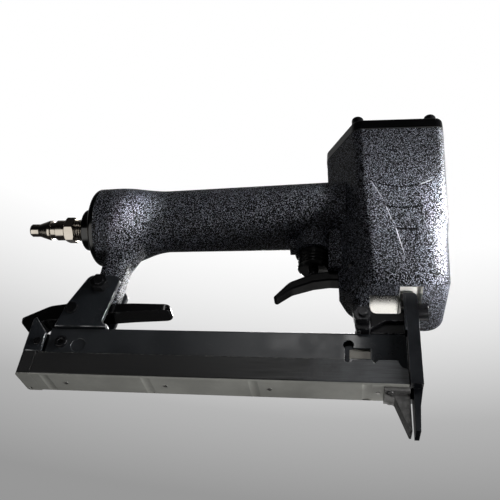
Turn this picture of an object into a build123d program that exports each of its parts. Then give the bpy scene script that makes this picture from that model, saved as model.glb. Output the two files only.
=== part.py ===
from build123d import *
import os

# Fine-wire pneumatic stapler, in millimetres.
# +X points to the nose, +Y to the tool's left side, +Z up.
# The origin is the middle of the nose tip, where the tool meets the work.

# Head casting
joint_z = 162.0          # top of the casting, under the gasket
head_floor_z = 63.0      # flat underside of the head
front_x = 22.0           # front face at the top
side_y = 25.5            # half width at the top
rear_x = -25.0           # rear corners at the top
ridge_x = -42.0          # ridge where the two rear faces meet
front_draft = 4.5        # how far each face leans in towards the floor
side_draft = 1.5
rear_draft = 6.0
front_corner = 4.0       # front corners in plan, above the chin
chin_corner = 9.0        # the same corners below it
chin_z = (95.0, 101.0)   # heights between which they grow
rear_corner = 7.0
ridge_corner = 5.0
floor_radius = 5.0       # rounding all round the floor
pocket_x = (-5.2, 5.0)   # pocket in the floor for the top of the nose
pocket_half = 18.5
pocket_top_z = 67.5
pad_x = (-18.9, -5.2)    # machined pad behind that pocket
pad_half = 11.0
pad_depth = 0.4
prow_cut = [(-50.0, 87.9), (-50.0, 60.0), (-23.9, 60.0)]   # slanted cut under the rear ridge

# Recessed panels on both sides, deep at the top and fading out at the bottom:
# top z, bottom z, rear and front x at the top, the same at the bottom, sag of the top edge
panel_depth = 0.35
panel_fade = 0.05
panel_rise = 0.5         # height of the cut, enough to clear the face
panel_spread = 0.95      # how far the sloped edges spread over that height
panels = [
    (124.0, 110.2, -16.9, 12.7, -11.1, 8.1, 4.4),
    (106.6, 95.8, -10.0, 6.7, -7.1, 4.5, 0.9),
    (92.6, 75.2, -5.8, 3.3, -2.6, 0.6, 0.4),
]

# Cap and its screws
gasket_t = 0.8
cap_top_z = 170.3
cap_edge = 1.6
cap_screw_xy = [(15.8, 20.5), (15.8, -20.5), (-23.5, 20.5), (-23.5, -20.5)]
cap_screw_r = 2.0
cap_head_r = 3.3
cap_head_h = 4.6
cap_screw_tip_z = 152.0
cap_roof = 3.3           # thickness of the cap over the valve chamber
hole_room = 0.2          # radial room of a screw in a plain hole

# Drive line
drive_x = -1.7           # axis of the cylinder and of the driver
bore_r = 15.0
sleeve_r = 17.6
sleeve_bottom_z = 70.0
sleeve_top_z = 152.0
bumper_top_z = 82.0
piston_bottom_z = 127.5
piston_top_z = 141.0
piston_r = 14.92
driver_t = 1.2
driver_half = 5.3
driver_tip_z = 45.2
valve_chamber_r = 20.5
valve_chamber_z = 150.0
head_valve_bottom_z = 153.2
head_valve_top_z = 159.4
head_seal_z = (155.5, 157.7)
head_seal_depth = 1.6
head_spring_r = (8.6, 10.6)
head_dish_r = 12.0       # dish in the top of the head valve, which seats its spring
head_dish = 2.0
seal_rows = [90.0, 140.0]     # seals round the sleeve
seal_h = 2.4
seal_depth = 1.3
ring_z = (133.5, 136.5)  # piston ring
ring_depth = 1.6
tang_z = 134.0           # top of the driver inside the piston

# Handle: a straight tapered grip that swells at the rear
grip_x = (-30.0, -131.0)
grip_z = (122.2, 118.5)  # height of its middle at both ends of the grip
grip_r = (18.3, 17.0)
swell_x = (-127.0, -155.0)
swell_r = 5.1            # how much the rear swell adds to the radius
swell_drop = 2.9         # how much it lowers the middle
ring_step = 7.0
handle_end_x = -163.5
handle_end_z = 114.3
air_bore_r = 12.0
end_cap_rim_x = -167.0
end_cap_r = 21.7
spigot_r = 17.0
spigot_len = 9.0
spigot_bore_r = 13.5
end_seal_x = (-159.5, -157.3)
end_seal_depth = 1.4
air_way_rise = (115.0, 0.0, 6.6)   # direction of the air way from the end cap to the head
air_way_len = 128.0
inlet_z = 112.8          # axis of the air inlet
bushing_r = 11.5
bushing_end_x = -174.3
bushing_shank_r = 9.0
bushing_inner_x = -161.5

# Air plug
thread_r = 6.0
thread_pitch = 1.34
thread_depth = 0.7
plug_reach = 7.0         # plain end of the plug inside the bushing
hex_af = 13.0
hex_turn = 24.0
plug_hex_x = (-186.0, -180.6)
plug_collar_r = 5.7
plug_neck_r = 4.6
plug_nose_r = 3.6
plug_bore_r = 2.3
plug_tip_x = -207.7
plug_cone_x = (-202.6, -196.4)
plug_ring_x = -195.2
plug_ring_r = 5.6
plug_collar_x = -191.6

# Trigger and its valve
trigger_pin = (-27.5, 79.4)
trigger_pin_reach = 12.4
trigger_pin_r = 1.5
trigger_half = 4.1
trigger_tip_half = 2.8
trigger_slot_half = 4.7
valve_x = -46.2
valve_r = 7.0
collar_r = 8.2
collar_z = (85.2, 95.0)
valve_top_z = 111.0
stem_r = 2.5
stem_tip_z = 81.5
stem_top_z = 109.5
flange_r = 4.6           # flange of the stem, which its spring sits on
flange_z = (100.6, 102.4)
chamber_r = 5.0
chamber_z = (100.0, 109.0)
valve_seal_rows = (97.0, 105.0)
valve_seal_h = 1.6
valve_seal_depth = 1.0
collar_grooves = (87.0, 89.0, 91.0)
groove_w = 0.9
groove_depth = 0.6
boss_r = 9.8             # boss of the casting over the collar
boss_top_z = 118.0
boss_lug_x = -58.9       # small lug behind the boss
boss_lug_half = 3.0
boss_lug_z = (97.6, 110.0)
cheek_x = (-38.6, -24.0)  # cheeks of the casting on both sides of the trigger
cheek_half = 8.2
cheek_z = (82.0, 108.0)

# Nose
bar_x = (-2.5, 3.0)
bar_half = 10.2
bar_top_z = 65.5
bar_crease_z = 19.0
groove_half = 5.6        # staple channel in the back of the bar
channel_front_x = -1.0
tongue_half = 5.2
tongue_tip_x = 1.0
guide_x = (-3.5, -2.5)
bracket_x = (-5.0, -3.5)
nose_screw_y = -8.0      # one screw on the right, one dowel on the left
nose_screw_z = 56.2
nose_screw_r = 1.9
nose_head_r = 4.1
nose_head_h = 4.6
shelf_z = (50.5, 54.3)   # flat run of the nose bracket
shelf_root = 3.2         # height of its rounded corner at the leg

# Fixed rail
rail_half = 7.0
rail_wall = 1.2
bend = 1.0               # outer bend radius of the rail and the cover
rail_z = (22.0, 45.0)
rail_x = (-173.0, -2.6)
leg_x = (-25.6, -19.0)
leg_half = 9.0
leg_flat = 3.0           # half width of the leg's flat rear
foot_x = -23.2           # rear of the narrow foot of the leg
# Rear edge of the leg: x, z and how far its bevels set it forward at the sides
leg_rear = [(-31.8, 72.0, 4.0), (-31.8, 68.6, 4.0), (-28.2, 65.2, 3.8), (-26.9, 62.0, 3.5),
            (-26.3, 57.6, 3.2), (-25.3, 52.5, 0.0), (-25.0, 49.6, 0.0), (foot_x, 47.4, 0.0)]
saddle_t = 1.5
saddle_top_z = 57.0
saddle_bolt = (-22.3, 51.8)    # x and z of the bolt through the leg
saddle_bolt_r = 2.0
saddle_half = leg_half + saddle_t
saddle_bolt_head = (3.5, 3.0)      # radius and height
saddle_nut_size = (7.0, 3.2)       # width across flats and height
bracket_bolt_head = (4.4, 3.2)
bracket_nut_size = (8.0, 4.0)
thread_end = 4.6         # how far a cross bolt stands out on its nut's side
cross_bolt_r = 2.5
rail_screw = (-165.9, 36.9)
dimple = (-157.2, 35.6)
dimple_r = 3.6
dimple_depth = 0.4
rail_screw_r = 1.5
rail_head_r = 3.0
rail_head_h = 1.5
keyhole = (-28.7, 38.7)  # keyhole through the sides of the rail
keyhole_r = 2.4
keyhole_slot_x = (-30.3, -28.3)
rail_window = (-28.3, -18.9, 31.8, 37.1)

# Magazine
cover_half = 8.8
cover_wall = 1.2
cover_z = (18.9, 30.4)
cover_x = (-176.5, -2.9)
bead_x = [-169.9, -120.7, -70.9, -20.7]
bead_w = 4.2
bead_depth = 0.4
core_half = 4.3
core_wall = 1.0
core_z = (20.1, 42.5)
core_x = (-179.0, -2.7)
rivet_x = [-161.0, -112.4, -63.9, -15.8]
end_x = -183.7
end_top_z = 31.0
catch_y = (7.3, 8.8)
catch_top_z = 49.7
catch_rear_x = -183.2
catch_rivet = (-177.3, 36.2)
catch_rivet_r = 1.2
catch_head_r = 1.9
catch_head_h = 0.7
bridge_front_x = -179.4
post_front_x = -180.0
bridge_z = (40.8, 42.3)
wedge_half = 4.2
wedge_front_x = -2.45
guide_base_half = 6.6
guide_base_z = 16.9
guide_rear_x = -13.4
guide_rivet_r = 1.1
guide_rivet_h = 0.6
guide_rivet_xy = [(-10.8, -5.4), (-10.8, 5.4)]
rivet_r = 1.0
spring_axis_z = 33.0     # axis of the pusher's spring and its rod
spring_rod_r = 1.1
spring_r = (1.5, 2.6)
core_slot_half = 1.1     # slot along the top of the core
tongue_x = (-26.0, -20.0)     # the pusher's tongue, which runs in that slot
tongue_half_y = 0.75
pusher_x = (-28.3, -4.0)
pusher_half = 5.45
pusher_wall = 0.85
pusher_z = (31.0, 43.45)
pusher_notch = (-26.0, 37.1)  # x and z of the step behind the keyhole
pusher_travel = 110.0

# Rear bracket and latch
lug_half = 6.5
lug_round = 4.0          # rounding of the lug's front edges
plate_t = 2.0
bracket_bolt = (-153.4, 69.5)
latch_pin = (-165.3, 55.2)
latch_pin_r = 2.0
latch_half = 5.2
latch_pin_head = (3.1, 1.2)   # radius and height
latch_spring_r = 3.4
bracket_inner = lug_half + 0.1
plate_half = bracket_inner + plate_t
bracket_base_x = (-171.3, -145.2)
bracket_base_t = 1.6
base_rivet_x = (-168.0, -151.0)
base_rivet_r = 2.6

running = 0.05           # radial clearance of a pin or piston that turns or slides
room = 0.3               # clearance between other moving pieces


def block(x0, x1, y0, y1, z0, z1):
    place = Pos((x0 + x1) / 2, (y0 + y1) / 2, (z0 + z1) / 2)
    return place * Box(x1 - x0, y1 - y0, z1 - z0)


def rod_x(y, z, x0, x1, r):
    return Pos((x0 + x1) / 2, y, z) * Rot(0, 90, 0) * Cylinder(r, x1 - x0)


def rod_y(x, z, y0, y1, r):
    return Pos(x, (y0 + y1) / 2, z) * Rot(90, 0, 0) * Cylinder(r, y1 - y0)


def rod_z(x, y, z0, z1, r):
    return Pos(x, y, (z0 + z1) / 2) * Cylinder(r, z1 - z0)


def tube_z(x, z0, z1, inner, outer):
    return rod_z(x, 0, z0, z1, outer) - rod_z(x, 0, z0 - 1, z1 + 1, inner)


def side_shape(points, y0, y1, radius=0.0):
    """Outline drawn in x and z, given thickness from y0 to y1."""
    line = FilletPolyline(*points, radius=radius, close=True)
    face = make_face(Plane.XZ.offset(-y0) * line)
    return extrude(face, amount=y1 - y0, dir=(0, 1, 0))


def turned_x(profile, z):
    """Solid turned about a lengthwise axis at height z, from points of x and radius."""
    ends = [(profile[0][0], 0.0)] + profile + [(profile[-1][0], 0.0)]
    face = make_face(Plane.XZ * Polyline(*ends, close=True))
    return Pos(0, 0, z) * revolve(face, axis=Axis.X)


def turned_ring(x0, x1, inner, outer, z):
    return rod_x(0, z, x0, x1, outer) - rod_x(0, z, x0 - 1, x1 + 1, inner)


def driver_slot(gap, z0, z1):
    """Section of the driver, with a gap all round, from z0 to z1."""
    half_x = driver_t / 2 + gap
    half_y = driver_half + gap
    return block(drive_x - half_x, drive_x + half_x, -half_y, half_y, z0, z1)


def head_outline(lean=0.0, corner=front_corner):
    """Plan of the head: lean is 0 at the top and 1 at the floor."""
    half = side_y - side_draft * lean
    front = front_x - front_draft * lean
    rear = rear_x + rear_draft * lean
    ridge = ridge_x + rear_draft * lean
    points = [(front, -half), (front, half), (rear, half), (ridge, 0), (rear, -half)]
    radii = [corner, corner, rear_corner, ridge_corner, rear_corner]
    return make_face(FilletPolyline(*points, radius=radii, close=True))


def head_block():
    """Leaning head with rounder front corners at the chin, rounded all round its floor."""
    levels = [(head_floor_z, chin_corner), (chin_z[0], chin_corner),
              (chin_z[1], front_corner), (joint_z, front_corner)]
    outlines = []
    for z, corner in levels:
        lean = (joint_z - z) / (joint_z - head_floor_z)
        outlines.append(Plane.XY.offset(z) * head_outline(lean, corner))
    body = loft(outlines, ruled=True)
    body = fillet(body.faces().sort_by(Axis.Z)[0].edges(), floor_radius)
    return body - side_shape(prow_cut, -side_y, side_y)


def handle_ring(x):
    """Round section of the handle at x."""
    along = (x - grip_x[0]) / (grip_x[1] - grip_x[0])
    t = (x - swell_x[0]) / (swell_x[1] - swell_x[0])
    t = min(max(t, 0.0), 1.0)
    swell = t * t * (3 - 2 * t)
    z = grip_z[0] + (grip_z[1] - grip_z[0]) * along - swell_drop * swell
    r = grip_r[0] + (grip_r[1] - grip_r[0]) * along + swell_r * swell
    return Plane.YZ.offset(x) * Pos(0, z) * Circle(r)


def handle_block():
    grip = loft([handle_ring(grip_x[0]), handle_ring(swell_x[0])])
    steps = round((swell_x[0] - handle_end_x) / ring_step)
    pitch = (swell_x[0] - handle_end_x) / steps
    swell = loft([handle_ring(swell_x[0] - i * pitch) for i in range(steps + 1)])
    return grip + swell


def leg_outline(y, bevel):
    """Outline of the front leg at y: bevel is 0 on its flat rear and 1 at its sides."""
    foot_z = rail_z[1] + saddle_t
    points = [(x + bevel * set_in, z) for x, z, set_in in leg_rear]
    points += [(foot_x, foot_z), (leg_x[1], foot_z), (leg_x[1], leg_rear[0][1])]
    return make_face(Plane.XZ.offset(-y) * Polyline(*points, close=True))


def leg_block():
    right = [leg_outline(-leg_half, 1), leg_outline(-leg_flat, 0)]
    left = [leg_outline(leg_flat, 0), leg_outline(leg_half, 1)]
    return loft(right + left, ruled=True)


def panel_cut(top, bottom, rear_top, front_top, rear_low, front_low, sag, side):
    """Panel recess in one side, with sloped edges and a floor that rises to the face at the bottom."""
    def face_y(z):
        return side * (side_y - side_draft * (joint_z - z) / (joint_z - head_floor_z))
    low = Vector(0, face_y(bottom) - side * panel_fade, bottom)
    rise = Vector(0, face_y(top) - side * panel_depth, top) - low
    across = Vector(-side, 0, 0)
    floor = Plane(origin=low, x_dir=across, z_dir=across.cross(rise))

    def outline(spread):
        h = rise.length + spread
        a, b = (-side * (rear_top - spread), h), (-side * (front_top + spread), h)
        c, d = (-side * (front_low + spread), 0), (-side * (rear_low - spread), 0)
        middle = ((a[0] + b[0]) / 2, h - sag)
        return make_face([ThreePointArc(a, middle, b), Line(b, c), Line(c, d), Line(d, a)])
    return loft([floor * outline(0), floor.offset(panel_rise) * outline(panel_spread)], ruled=True)


def make_housing():
    lug = side_shape([(-158, 99), (-137.5, 99.5), (-143.6, 86), (-145.6, 61.5), (-158, 61.5)],
                     -lug_half, lug_half, [0, 0, 12, 4, 4])
    lug_edges = [e for e in lug.edges() if abs(e.center().Y) > lug_half - 0.1 and e.center().X > -147
                 and 66 < e.center().Z < 99]
    lug = fillet(lug_edges, lug_round)
    boss = rod_z(valve_x, 0, collar_z[1], boss_top_z, boss_r)
    boss += block(boss_lug_x, valve_x, -boss_lug_half, boss_lug_half, boss_lug_z[0], boss_lug_z[1])
    body = head_block() + handle_block() + lug + leg_block() + boss
    for side in (-1, 1):
        low, high = sorted([side * trigger_slot_half, side * cheek_half])
        body += block(*cheek_x, low, high, *cheek_z)
    body -= rod_z(drive_x, 0, sleeve_bottom_z, joint_z + 1, sleeve_r + running)
    body -= rod_z(drive_x, 0, valve_chamber_z, joint_z + 1, valve_chamber_r)
    body -= driver_slot(room, head_floor_z - 2, sleeve_bottom_z + 1)
    air_way = Plane(origin=(handle_end_x + spigot_len, 0, handle_end_z + 0.8), z_dir=air_way_rise)
    body -= Solid.make_cylinder(air_bore_r, air_way_len, air_way)
    body -= rod_x(0, handle_end_z, handle_end_x - 1, handle_end_x + spigot_len + 1, spigot_r + running)
    body -= rod_z(valve_x, 0, collar_z[1] - 1, valve_top_z + 3, valve_r + running)
    body -= block(-70, -22, -trigger_slot_half, trigger_slot_half, 70, collar_z[1] - 2)
    body -= rod_y(*trigger_pin, -30, 30, trigger_pin_r)
    body -= block(pocket_x[0], pocket_x[1], -pocket_half, pocket_half, head_floor_z - 1, pocket_top_z)
    body -= block(pad_x[0], pad_x[1], -pad_half, pad_half, head_floor_z - 1, head_floor_z + pad_depth)
    body -= rod_y(*bracket_bolt, -9, 9, cross_bolt_r + running)
    body -= rod_y(*saddle_bolt, -12, 12, saddle_bolt_r + running)
    for x, y in cap_screw_xy:
        body -= rod_z(x, y, cap_screw_tip_z - 2, joint_z + 1, cap_screw_r + running)
    for side in (-1, 1):
        for panel in panels:
            body -= panel_cut(*panel, side)
    return body


def make_gasket():
    ring = extrude(Plane.XY.offset(joint_z) * head_outline(), gasket_t)
    ring -= rod_z(drive_x, 0, joint_z - 1, joint_z + 2, valve_chamber_r)
    for x, y in cap_screw_xy:
        ring -= rod_z(x, y, joint_z - 1, joint_z + 2, cap_screw_r + hole_room)
    return ring


def make_cap():
    low = joint_z + gasket_t
    cap = extrude(Plane.XY.offset(low) * head_outline(), cap_top_z - low)
    cap = fillet(cap.faces().sort_by(Axis.Z)[-1].edges(), cap_edge)
    cap -= rod_z(drive_x, 0, low - 1, cap_top_z - cap_roof, valve_chamber_r)
    for x, y in cap_screw_xy:
        cap -= rod_z(x, y, low - 1, cap_top_z + 1, cap_screw_r + hole_room)
    return cap


def socket_screw(head_r, head_h, shank_r, shank_len):
    """Socket-head screw with its head on the plane z = 0 and its shank below."""
    head = rod_z(0, 0, 0, head_h, head_r)
    head = fillet(head.edges().sort_by(Axis.Z)[-1:], 0.5)
    key = extrude(Plane.XY.offset(head_h * 0.45) * RegularPolygon(head_r * 0.52, 6), head_h)
    return head + rod_z(0, 0, -shank_len, 0, shank_r) - key


def make_cap_screws():
    screw = socket_screw(cap_head_r, cap_head_h, cap_screw_r, cap_top_z - cap_screw_tip_z)
    return Compound(children=[Pos(x, y, cap_top_z) * screw for x, y in cap_screw_xy])


def make_sleeve():
    sleeve = tube_z(drive_x, sleeve_bottom_z, sleeve_top_z, bore_r, sleeve_r)
    for z in seal_rows:
        sleeve -= tube_z(drive_x, z, z + seal_h, sleeve_r - seal_depth, sleeve_r + 1)
    return sleeve


def make_sleeve_seals():
    inner = sleeve_r - seal_depth
    return Compound(children=[tube_z(drive_x, z, z + seal_h, inner, sleeve_r) for z in seal_rows])


def make_bumper():
    bumper = rod_z(drive_x, 0, sleeve_bottom_z, bumper_top_z, bore_r - 0.1)
    bumper = chamfer(bumper.edges().sort_by(Axis.Z)[-1:], 2.0)
    return bumper - driver_slot(room, sleeve_bottom_z - 1, bumper_top_z + 1)


def make_piston():
    piston = rod_z(drive_x, 0, piston_bottom_z, piston_top_z, piston_r)
    piston -= tube_z(drive_x, ring_z[0], ring_z[1], piston_r - ring_depth, piston_r + 1)
    piston -= rod_z(drive_x, 0, piston_top_z - 3, piston_top_z + 1, piston_r - 5)
    return piston - driver_slot(0, piston_bottom_z - 1, tang_z)


def make_piston_ring():
    return tube_z(drive_x, ring_z[0], ring_z[1], piston_r - ring_depth, piston_r + 0.03)


def make_driver():
    return driver_slot(0, driver_tip_z, tang_z)


def make_head_valve():
    disc = rod_z(drive_x, 0, head_valve_bottom_z, head_valve_top_z, valve_chamber_r - 0.08)
    disc -= tube_z(drive_x, *head_seal_z, valve_chamber_r - head_seal_depth, valve_chamber_r + 1)
    return disc - rod_z(drive_x, 0, head_valve_top_z - head_dish, head_valve_top_z + 1, head_dish_r)


def make_head_valve_seals():
    face_seal = tube_z(drive_x, sleeve_top_z + room, head_valve_bottom_z, bore_r, sleeve_r + 1.0)
    rim_seal = tube_z(drive_x, *head_seal_z, valve_chamber_r - head_seal_depth, valve_chamber_r - running)
    return Compound(children=[face_seal, rim_seal])


def make_head_valve_spring():
    return tube_z(drive_x, head_valve_top_z - head_dish + 0.1, cap_top_z - cap_roof - 0.1, *head_spring_r)


def make_end_cap():
    rim = rod_x(0, handle_end_z, end_cap_rim_x, handle_end_x, end_cap_r)
    rim = fillet(rim.edges().sort_by(Axis.X)[:1], 2.4)
    spigot = rod_x(0, handle_end_z, handle_end_x, handle_end_x + spigot_len, spigot_r)
    spigot -= rod_x(0, handle_end_z, bushing_inner_x, handle_end_x + spigot_len + 1, spigot_bore_r)
    spigot -= turned_ring(*end_seal_x, spigot_r - end_seal_depth, spigot_r + 1, handle_end_z)
    return rim + spigot - rod_x(0, inlet_z, end_cap_rim_x - 1, bushing_inner_x + 1, bushing_shank_r)


def make_end_cap_seal():
    return turned_ring(*end_seal_x, spigot_r - end_seal_depth, spigot_r, handle_end_z)


def make_bushing():
    head = rod_x(0, inlet_z, bushing_end_x, end_cap_rim_x, bushing_r)
    head = fillet(head.edges().sort_by(Axis.X)[:1], 1.2)
    shank = rod_x(0, inlet_z, end_cap_rim_x, bushing_inner_x, bushing_shank_r)
    return head + shank - rod_x(0, inlet_z, bushing_end_x - 1, bushing_inner_x + 1, thread_r)


def make_air_plug():
    tip = plug_tip_x
    profile = [(tip, plug_nose_r - 0.5), (tip + 0.7, plug_nose_r), (plug_cone_x[0], plug_nose_r),
               (plug_cone_x[1], plug_ring_r), (plug_ring_x, plug_ring_r), (plug_ring_x + 0.2, plug_neck_r),
               (plug_collar_x - 0.6, plug_neck_r), (plug_collar_x, plug_collar_r),
               (plug_hex_x[0] - 0.7, plug_collar_r), (plug_hex_x[0] - 0.5, plug_collar_r - 0.6),
               (plug_hex_x[0], plug_collar_r - 0.6)]
    nose = turned_x(profile, inlet_z)
    outline = RegularPolygon(hex_af / 2, 6, major_radius=False, rotation=hex_turn)
    flats = Plane.YZ.offset(plug_hex_x[0]) * Pos(0, inlet_z) * outline
    hexagon = extrude(flats, plug_hex_x[1] - plug_hex_x[0], dir=(1, 0, 0))
    corner_r = hex_af / 2 + 0.15
    hexagon &= turned_x([(plug_hex_x[0], corner_r), (plug_hex_x[0] + 0.7, hex_af * 0.59),
                         (plug_hex_x[1] - 0.7, hex_af * 0.59), (plug_hex_x[1], corner_r)], inlet_z)
    turns = []
    x = plug_hex_x[1]
    while x < bushing_end_x - thread_pitch:
        turns += [(x, thread_r - thread_depth), (x + thread_pitch / 2, thread_r)]
        x += thread_pitch
    thread = turned_x(turns + [(bushing_end_x, thread_r), (bushing_end_x + plug_reach, thread_r)], inlet_z)
    return nose + hexagon + thread - rod_x(0, inlet_z, tip - 1, bushing_end_x + plug_reach + 1, plug_bore_r)


def make_trigger():
    """Curved finger lever, round-edged, tapering to its tip."""
    top = [(-24.5, 85.5), (-34.5, 85.3), (-38.5, 82.3), (-47.0, 80.7), (-58.0, 76.0), (-66.0, 66.6)]
    under = [(-63.6, 65.9), (-56.6, 71.6), (-46.0, 75.6), (-38.0, 76.9), (-23.4, 76.4)]
    radii = [2.2, 2.5, 4, 9, 9, 1.0, 1.0, 9, 9, 9, 2.2]
    lever = side_shape(top + under, -trigger_half, trigger_half, radii)
    plan = make_face(Polyline((-20, -trigger_half), (-46, -trigger_half), (-70, -trigger_tip_half),
                              (-70, trigger_tip_half), (-46, trigger_half), (-20, trigger_half), close=True))
    lever &= extrude(Plane.XY.offset(60) * plan, 30)
    long_edges = [e for e in lever.edges() if abs(e.center().Y) > trigger_tip_half - 0.4
                  and e.center().X < -40 and abs(e.bounding_box().size.Z) + e.bounding_box().size.X > 1.5]
    lever = fillet(long_edges, 1.0)
    return lever - rod_y(*trigger_pin, -10, 10, trigger_pin_r + running)


def make_trigger_pin():
    return rod_y(*trigger_pin, -trigger_pin_reach, trigger_pin_reach, trigger_pin_r)


def make_valve_body():
    body = rod_z(valve_x, 0, collar_z[1], valve_top_z, valve_r)
    collar = rod_z(valve_x, 0, collar_z[0], collar_z[1], collar_r)
    collar = chamfer(collar.edges().sort_by(Axis.Z)[:1], 1.0)
    for z in collar_grooves:
        collar -= tube_z(valve_x, z, z + groove_w, collar_r - groove_depth, collar_r + 1)
    body = body + collar - rod_z(valve_x, 0, *chamber_z, chamber_r)
    body -= rod_z(valve_x, 0, collar_z[0] - 1, valve_top_z + 1, stem_r + running)
    for z in valve_seal_rows:
        body -= tube_z(valve_x, z, z + valve_seal_h, valve_r - valve_seal_depth, valve_r + 1)
    return body


def make_valve_seals():
    inner = valve_r - valve_seal_depth
    return Compound(children=[tube_z(valve_x, z, z + valve_seal_h, inner, valve_r) for z in valve_seal_rows])


def make_valve_stem():
    stem = rod_z(valve_x, 0, stem_tip_z, stem_top_z, stem_r)
    stem = fillet(stem.edges().sort_by(Axis.Z)[:1], 1.0)
    return stem + rod_z(valve_x, 0, *flange_z, flange_r)


def make_valve_spring():
    return tube_z(valve_x, flange_z[1] + 0.1, chamber_z[1] - 0.1, stem_r + 0.2, flange_r - 0.2)


def make_nose_bar():
    bar = block(bar_x[0], bar_x[1], -bar_half, bar_half, bar_crease_z, bar_top_z)
    corner = [e for e in bar.edges().filter_by(Axis.Y) if e.center().X > 0 and e.center().Z > 40]
    bar = fillet(corner, 2.5)
    bar -= block(bar_x[0] - 1, channel_front_x, -groove_half, groove_half, 0, 80)
    tongue = side_shape([(channel_front_x, bar_crease_z), (bar_x[1], bar_crease_z), (tongue_tip_x + 0.6, 11),
                         (tongue_tip_x, 0), (channel_front_x, 0)], -tongue_half, tongue_half)
    return bar + tongue - nose_hole(bar_x) - dowel_hole(bar_x)


def nose_hole(span):
    return rod_x(nose_screw_y, nose_screw_z, span[0] - 0.1, span[1] + 0.1, nose_screw_r)


def dowel_hole(span):
    return rod_x(-nose_screw_y, nose_screw_z, span[0] - 0.1, span[1] + 0.1, nose_screw_r)


def make_guide_plate():
    plate = block(guide_x[0], guide_x[1], -bar_half, bar_half, rail_z[1] + 0.2, bar_top_z)
    return plate - nose_hole(guide_x) - dowel_hole(guide_x)


def make_nose_bracket():
    """Thick bent plate: up behind the guide plate, back over the front block and down to the saddle."""
    front, back = bracket_x[1], bracket_x[0]
    low, high = shelf_z
    rear = leg_x[1]
    points = [(front, bar_top_z), (front, low), (-12.2, low), (rear, 46.2), (rear, high + shelf_root),
              (rear + 0.4, high + shelf_root), (rear + 0.4, high), (back, high), (back, bar_top_z)]
    plate = side_shape(points, -bar_half + 1, bar_half - 1, [0, 0.8, 4, 0, 0, 0, shelf_root - 0.4, 1.2, 0])
    return plate - nose_hole(bracket_x) - dowel_hole(bracket_x)


def make_front_block():
    rear = leg_x[1] + 0.4
    points = [(bracket_x[1], rail_z[1]), (bracket_x[1], shelf_z[0] - 0.8), (bracket_x[1] - 0.8, shelf_z[0]),
              (-12.2, shelf_z[0]), (rear, 46.4), (rear, rail_z[1])]
    return side_shape(points, -rail_half, rail_half, [0, 0, 0, 4, 0, 0])


def make_nose_screw():
    screw = socket_screw(nose_head_r, nose_head_h, nose_screw_r, bar_x[1] - bracket_x[0])
    return Pos(bar_x[1], nose_screw_y, nose_screw_z) * Rot(0, 90, 0) * screw


def make_nose_dowel():
    return rod_x(-nose_screw_y, nose_screw_z, bracket_x[0], bar_x[1], nose_screw_r)


def bent_edges(sheet, high):
    """Rounds the two long edges at the top or the bottom of a folded sheet."""
    edges = sheet.edges().filter_by(Axis.X).sort_by(Axis.Z)
    return fillet(edges[-2:] if high else edges[:2], bend)


def make_rail():
    rail = block(rail_x[0], rail_x[1], -rail_half, rail_half, rail_z[0], rail_z[1])
    rail = bent_edges(rail, True)
    inner = rail_half - rail_wall
    rail -= block(rail_x[0] - 1, rail_x[1] + 1, -inner, inner, rail_z[0] - 1, rail_z[1] - rail_wall)
    reach = rail_half + 1
    rail -= rod_y(*keyhole, -reach, reach, keyhole_r)
    rail -= block(*keyhole_slot_x, -reach, reach, cover_z[1] - 0.4, keyhole[1])
    rail -= block(rail_window[0], rail_window[1], -reach, reach, rail_window[2], rail_window[3])
    rail -= rod_y(*rail_screw, -reach, reach, rail_screw_r)
    for side in (-1, 1):
        low, high = sorted([side * (rail_half - dimple_depth), side * reach])
        rail -= rod_y(*dimple, low, high, dimple_r)
    return rail


def make_rail_screws():
    """Low round-headed screws in both sides of the rail."""
    screw = socket_screw(rail_head_r, rail_head_h, rail_screw_r, rail_wall)
    left = Pos(rail_screw[0], rail_half, rail_screw[1]) * Rot(-90, 0, 0) * screw
    right = Pos(rail_screw[0], -rail_half, rail_screw[1]) * Rot(90, 0, 0) * screw
    return Compound(children=[left, right])


def make_saddle():
    """U-shaped clip that joins the rail to the leg of the casting."""
    x0, x1 = leg_x
    outer = saddle_half
    clip = block(foot_x, x1, -outer, outer, rail_z[1], rail_z[1] + saddle_t)
    for side in (-1, 1):
        low, high = sorted([side * leg_half, side * outer])
        ear = side_shape([(x0, rail_z[1]), (x1, rail_z[1]), (x1, saddle_top_z), (x0, saddle_top_z)],
                         low, high, [2.3, 0, 2.6, 2.6])
        clip += ear
    return clip - rod_y(*saddle_bolt, -15, 15, saddle_bolt_r + running)


def cross_bolt(x, z, half, shank_r, head_r, head_h):
    """Bolt across the tool with its head on the left and its thread ending past a nut on the right."""
    shank = rod_y(x, z, -half - thread_end, half, shank_r)
    head = rod_y(x, z, half, half + head_h, head_r)
    head = fillet(head.edges().sort_by(Axis.Y)[-1:], 1.0)
    return shank + head


def hex_nut(x, z, half, shank_r, af, height):
    flats = Plane.XZ.offset(half) * Pos(x, z) * RegularPolygon(af / 2, 6, major_radius=False)
    nut = extrude(flats, height)
    return nut - rod_y(x, z, -half - height - 1, -half + 1, shank_r)


def make_rear_bracket():
    """Two side plates on a base that stands on the rear of the rail."""
    rear, front = bracket_base_x
    clip = block(rear, front, -plate_half, plate_half, rail_z[1], rail_z[1] + bracket_base_t)
    outline = [(-160.6, 75.5), (-146.2, 75.5), (-144.0, 72.4), (-147.8, 48.4), (front, rail_z[1]),
               (rear, rail_z[1]), (-168.8, 57.2)]
    for side in (-1, 1):
        low, high = sorted([side * bracket_inner, side * plate_half])
        clip += side_shape(outline, low, high, [4, 3, 2, 2, 0, 0, 5])
    clip -= rod_y(*bracket_bolt, -12, 12, cross_bolt_r + running)
    return clip - rod_y(*latch_pin, -12, 12, latch_pin_r)


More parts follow.
